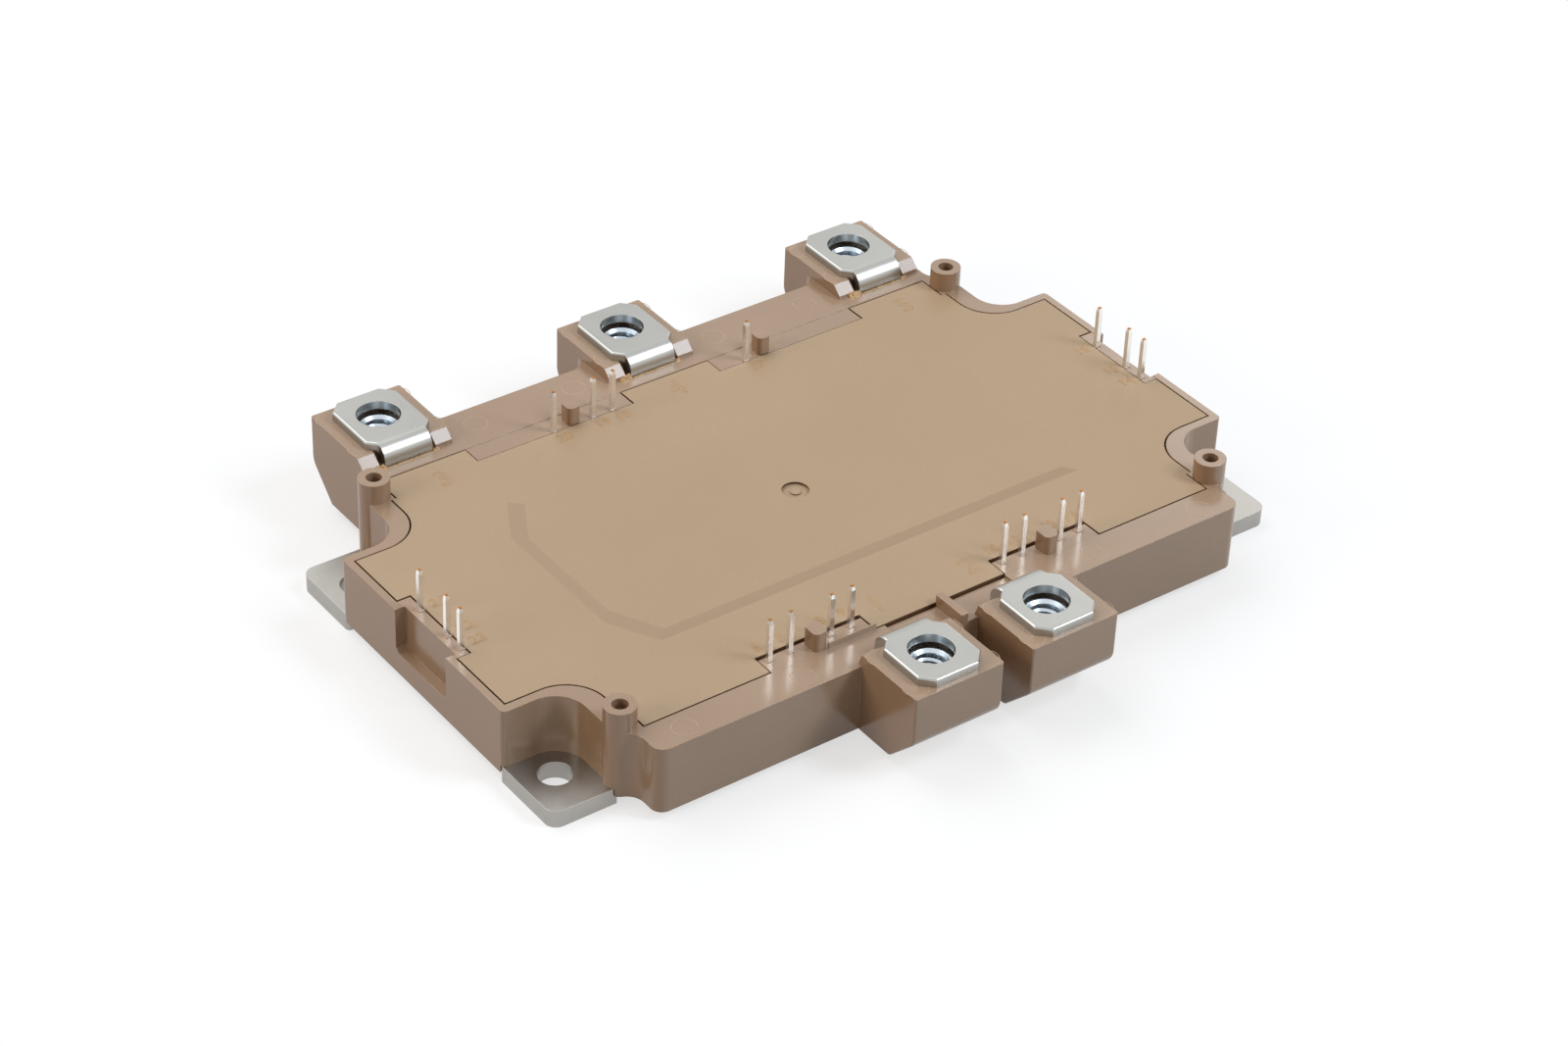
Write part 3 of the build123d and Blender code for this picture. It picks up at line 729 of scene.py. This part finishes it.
@dataclass
class RaisedNumbers:
    """The plain terminal and pin numbers, whose thin outlines stand up from the lid."""

    workshop: Workshop
    line: float = 0.13 * MM
    lid_top: float = 13.4 * MM
    large: float = 5.6 * MM
    small: float = 2.9 * MM
    terminal_marks: tuple[tuple[int, float, float], ...] = (
        (1, -8.3, -32.2),
        (2, 9.7, -32.2),
        (3, -45.5, 32.4),
        (4, 0.3, 33.2),
        (5, 47.2, 32.8),
    )
    pin_marks: tuple[tuple[int, float, float], ...] = (
        (6, -30.0, -30.7),
        (7, -25.6, -30.7),
        (8, -17.9, -30.7),
        (9, -13.9, -30.7),
        (10, 15.3, -30.7),
        (11, 19.6, -30.7),
        (12, 27.0, -30.7),
        (13, 31.3, -30.7),
        (14, 63.8, -6.1),
        (15, 63.8, -2.0),
        (16, 63.6, 5.3),
        (17, 15.3, 31.6),
        (18, -11.6, 31.5),
        (19, -15.6, 31.5),
        (20, -23.0, 31.5),
        (21, -63.4, 5.4),
        (22, -63.3, -2.1),
        (23, -63.4, -5.8),
    )

    def build(self) -> None:
        """Make one piece with all the numbers on the lid's top face."""
        maker = bmesh.new()
        for size, marks in ((self.large, self.terminal_marks), (self.small, self.pin_marks)):
            for number, x, y in marks:
                self.add_number(maker, str(number), size, Vector((x * MM, y * MM, self.lid_top)))
        bmesh.ops.recalc_face_normals(maker, faces=maker.faces)
        self.workshop.finish_piece("lid_numbers", maker, Slot.LID, NUMBER_FINISH)

    def add_number(self, maker: bmesh.types.BMesh, text: str, size: float, place: Vector) -> None:
        """Add one number.

        Args:
            maker: The bmesh that gets it.
            text: The digits.
            size: Letter size in metres.
            place: Middle of the number on the lid.
        """
        curve = bpy.data.curves.new("digits", "FONT")
        curve.body = text
        curve.size = size
        curve.align_x = "CENTER"
        curve.align_y = "CENTER"
        curve.fill_mode = "NONE"
        curve.bevel_depth = self.line / 2
        curve.bevel_resolution = 1
        curve.resolution_u = 3
        holder = bpy.data.objects.new("digits", curve)
        bpy.context.scene.collection.objects.link(holder)
        graph = bpy.context.evaluated_depsgraph_get()
        mesh = bpy.data.meshes.new_from_object(holder.evaluated_get(graph))
        mesh.transform(Matrix.Translation(place))
        maker.from_mesh(mesh)
        bpy.data.objects.remove(holder)
        bpy.data.curves.remove(curve)
        bpy.data.meshes.remove(mesh)


@dataclass
class EjectorMarks:
    """The faint rings that the mould's ejector pins leave on the frame."""

    workshop: Workshop
    radius: float = 2.05 * MM
    line: float = 0.13 * MM
    height: float = 0.04 * MM
    sink: float = 0.01 * MM
    slope_share: float = 0.3
    steps: int = 48
    front_shift: float = 1.0
    rim_top: float = 13.4 * MM
    box_top: float = 15.5 * MM
    rim_places: tuple[tuple[float, float], ...] = (
        (-49.7, -40.35),
        (49.7, -40.35),
        (-28.2, -40.35),
        (28.2, -40.35),
        (-32.95, 42.7),
        (-13.9, 42.7),
        (14.2, 42.7),
        (33.2, 42.7),
    )
    box_places: tuple[tuple[float, float], ...] = (
        (-6.5, 53.9),
        (6.7, 54.1),
        (-6.5, 44.1),
        (6.7, 44.2),
    )
    box_middles: tuple[tuple[float, int], ...] = (
        (-47.26, 1),
        (0.0, 1),
        (47.26, 1),
        (-11.1, -1),
        (11.1, -1),
    )

    def build(self) -> None:
        """Make one piece with a thin ring at each place."""
        maker = bmesh.new()
        for x, y in self.rim_places:
            self.add_ring(maker, Vector((x * MM, y * MM, self.rim_top)))
        for middle, side in self.box_middles:
            for x, y in self.box_places:
                shift = self.front_shift if side < 0 and y < 50 else 0.0
                place = Vector(((middle + x) * MM, side * (y + shift) * MM, self.box_top))
                self.add_ring(maker, place)
        bmesh.ops.remove_doubles(maker, verts=maker.verts, dist=0.001 * MM)
        bmesh.ops.recalc_face_normals(maker, faces=maker.faces)
        self.workshop.finish_piece("ejector_marks", maker, Slot.HOUSING, SEAM_FINISH)

    def add_ring(self, maker: bmesh.types.BMesh, centre: Vector) -> None:
        """Add one flat ring with sloping sides round a centre."""
        inner = self.radius - self.line
        slope = self.line * self.slope_share
        profile = [
            (inner, -self.sink),
            (inner + slope, self.height),
            (self.radius - slope, self.height),
            (self.radius, -self.sink),
        ]
        corners = [maker.verts.new(centre + Vector((radius, 0, height))) for radius, height in profile]
        face = maker.faces.new(corners)
        edges = list(face.edges)
        bmesh.ops.delete(maker, geom=[face], context="FACES_ONLY")
        bmesh.ops.spin(
            maker,
            geom=[*edges, *corners],
            cent=centre,
            axis=(0, 0, 1),
            angle=math.tau,
            steps=self.steps,
            use_merge=True,
        )


@dataclass(frozen=True)
class Patch:
    """One uneven patch of squeezed plastic beside a busbar neck, in millimetres."""

    place: tuple[float, float]
    size: tuple[float, float]
    rise: float
    seed: float


@dataclass
class SqueezedPlastic:
    """The thin uneven skins of plastic that crept out round the feet of the rear busbar necks."""

    workshop: Workshop
    middles: tuple[float, ...] = (-47.26, 0.0, 47.26)
    rim_top: float = 13.4 * MM
    cell: float = 0.12 * MM
    sink: float = 0.03
    seed_step: float = 3.1
    patches: tuple[Patch, ...] = (
        Patch((0.0, 39.70), (9.6, 0.50), 0.30, 0.0),
        Patch((-5.3, 40.0), (2.4, 1.8), 0.90, 1.0),
        Patch((5.1, 40.0), (1.3, 1.0), 0.50, 2.0),
    )

    def build(self) -> None:
        """Make one piece with a bead in front of each neck and a crumb at both of its ends."""
        maker = bmesh.new()
        for index, x in enumerate(self.middles):
            for patch in self.patches:
                middle = Vector((x + patch.place[0], patch.place[1], 0)) * MM
                self.add_skin(maker, middle, patch, index * self.seed_step + patch.seed)
        bmesh.ops.recalc_face_normals(maker, faces=maker.faces)
        self.workshop.finish_piece("squeezed_plastic", maker, Slot.HOUSING, SQUEEZED_FINISH)

    def add_skin(self, maker: bmesh.types.BMesh, middle: Vector, patch: Patch, seed: float) -> None:
        """Add one uneven patch whose rim sinks into the frame.

        Args:
            maker: The bmesh that gets it.
            middle: The patch's middle in the plan.
            patch: Its size and rise.
            seed: Moves the noise, so that no two patches are alike.
        """
        columns = max(4, round(patch.size[0] * MM / self.cell))
        rows = max(4, round(patch.size[1] * MM / self.cell))
        made = bmesh.ops.create_grid(maker, x_segments=columns, y_segments=rows, size=0.5)
        for vert in made["verts"]:
            across = vert.co.x * 2
            along = vert.co.y * 2
            fall = max(0.0, 1.0 - across**6) * max(0.0, 1.0 - along**2)
            place = Vector((vert.co.x * patch.size[0], vert.co.y * patch.size[1], 0.0))
            wave = noise.noise(place * 1.7 + Vector((seed, 0.0, 0.0)))
            fine = noise.noise(place * 5.0 + Vector((0.0, seed, 0.0)))
            height = patch.rise * fall * (0.75 + 0.5 * wave + 0.35 * fine) - self.sink
            vert.co = middle + place * MM + Vector((0.0, 0.0, self.rim_top + height * MM))


@dataclass(frozen=True)
class Lamp:
    """A rectangular softbox that points at the part: place and size in metres, power in watts."""

    name: str
    place: tuple[float, float, float]
    size: tuple[float, float]
    power: float
    color: Color = (1.0, 1.0, 1.0)


@dataclass
class Studio:
    """Floor, soft light and the camera of the photograph."""

    lens: float = 88.88
    sensor: float = 36.0
    camera_place: tuple[float, float, float] = (-307.98 * MM, -398.40 * MM, 367.76 * MM)
    look: tuple[float, float, float] = (0.49472556, 0.64412871, -0.5833908)
    image_right: tuple[float, float, float] = (0.80708102, -0.58948617, 0.03356008)
    floor_side: float = 8.0
    floor_white: float = 0.40
    floor_glow: float = 0.65
    ambient: float = 0.21
    seen_white: float = 1.0
    lamps: tuple[Lamp, ...] = (
        Lamp("rear_softbox", (-0.15, 0.55, 0.85), (0.9, 0.7), 4.5),
        Lamp("left_card", (-1.0, 0.15, 0.45), (0.5, 0.4), 3.5, (1.0, 0.95, 0.88)),
        Lamp("front_high_card", (0.525, -0.479, 0.8635), (0.36, 0.28), 3.4, (0.78, 0.88, 1.0)),
        Lamp("front_low_card", (0.555, -0.6945, 0.652), (0.28, 0.22), 2.2, (0.92, 0.96, 1.0)),
        Lamp("right_softbox", (0.94, 0.78, 0.68), (0.26, 0.20), 0.5),
    )

    def build(self) -> None:
        """Make the whole studio."""
        self.add_camera()
        self.add_floor()
        self.add_world()
        for lamp in self.lamps:
            self.add_lamp(lamp)
        bpy.context.scene.view_settings.view_transform = "Standard"

    def add_camera(self) -> None:
        """Place the camera from its viewing direction and the picture's right-hand direction."""
        data = bpy.data.cameras.new("camera")
        data.lens = self.lens
        data.sensor_width = self.sensor
        data.clip_start = 0.01
        data.clip_end = 50.0
        camera = bpy.data.objects.new("camera", data)
        bpy.context.scene.collection.objects.link(camera)
        right = Vector(self.image_right).normalized()
        back = -Vector(self.look).normalized()
        up = back.cross(right)
        turn = Matrix((right, up, back)).transposed()
        camera.matrix_world = Matrix.Translation(self.camera_place) @ turn.to_4x4()
        bpy.context.scene.camera = camera

    def add_floor(self) -> None:
        """Lay a white floor that keeps the part's shadow."""
        maker = bmesh.new()
        bmesh.ops.create_grid(maker, x_segments=1, y_segments=1, size=self.floor_side / 2)
        mesh = bpy.data.meshes.new("floor")
        maker.to_mesh(mesh)
        maker.free()
        floor = bpy.data.objects.new("floor", mesh)
        bpy.context.scene.collection.objects.link(floor)
        material = bpy.data.materials.new("floor_white")
        material.use_nodes = True
        pen = NodePen(material.node_tree)
        out = pen.node("OutputMaterial")
        diffuse = pen.node("BsdfDiffuse")
        diffuse.inputs["Color"].default_value = (self.floor_white,) * 3 + (1.0,)
        glow = pen.node("Emission")
        pen.join(pen.times(self.seen_rays(pen), self.floor_glow), glow.inputs["Strength"])
        both = pen.node("AddShader")
        pen.join(diffuse.outputs["BSDF"], both.inputs[0])
        pen.join(glow.outputs["Emission"], both.inputs[1])
        pen.join(both.outputs["Shader"], out.inputs["Surface"])
        mesh.materials.append(material)

    def seen_rays(self, pen: NodePen) -> Socket:
        """Return a socket that is 1 for camera, glossy and transmission rays."""
        path = pen.node("LightPath")
        first = pen.node("Math", operation="MAXIMUM")
        pen.join(path.outputs["Is Camera Ray"], first.inputs[0])
        pen.join(path.outputs["Is Glossy Ray"], first.inputs[1])
        second = pen.node("Math", operation="MAXIMUM")
        pen.join(first.outputs["Value"], second.inputs[0])
        pen.join(path.outputs["Is Transmission Ray"], second.inputs[1])
        return second.outputs["Value"]

    def add_world(self) -> None:
        """Make the sky white to the eye and softer as a lamp."""
        world = bpy.data.worlds.new("studio")
        bpy.context.scene.world = world
        world.use_nodes = True
        pen = NodePen(world.node_tree)
        out = pen.node("OutputWorld")
        sky = pen.node("Background")
        sky.inputs["Color"].default_value = (1.0, 1.0, 1.0, 1.0)
        strength = pen.ramp(self.seen_rays(pen), 0.0, 1.0, self.ambient, self.seen_white)
        pen.join(strength, sky.inputs["Strength"])
        pen.join(sky.outputs["Background"], out.inputs["Surface"])

    def add_lamp(self, lamp: Lamp) -> None:
        """Hang a softbox.

        Args:
            lamp: Its place, size, power and colour.
        """
        data = bpy.data.lights.new(lamp.name, "AREA")
        data.shape = "RECTANGLE"
        data.size, data.size_y = lamp.size
        data.energy = lamp.power
        data.color = lamp.color
        holder = bpy.data.objects.new(lamp.name, data)
        bpy.context.scene.collection.objects.link(holder)
        way = Vector(lamp.place)
        holder.location = way
        holder.rotation_mode = "QUATERNION"
        holder.rotation_quaternion = way.to_track_quat("Z", "Y")


def main() -> None:
    """Build and dress everything in order."""
    logging.basicConfig(level=logging.INFO, format="%(message)s")
    workshop = Workshop()
    workshop.dress_nodes()
    NutThreads(workshop).build()
    RaisedNumbers(workshop).build()
    EjectorMarks(workshop).build()
    SqueezedPlastic(workshop).build()
    Studio().build()


if __name__ == "__main__":
    main()
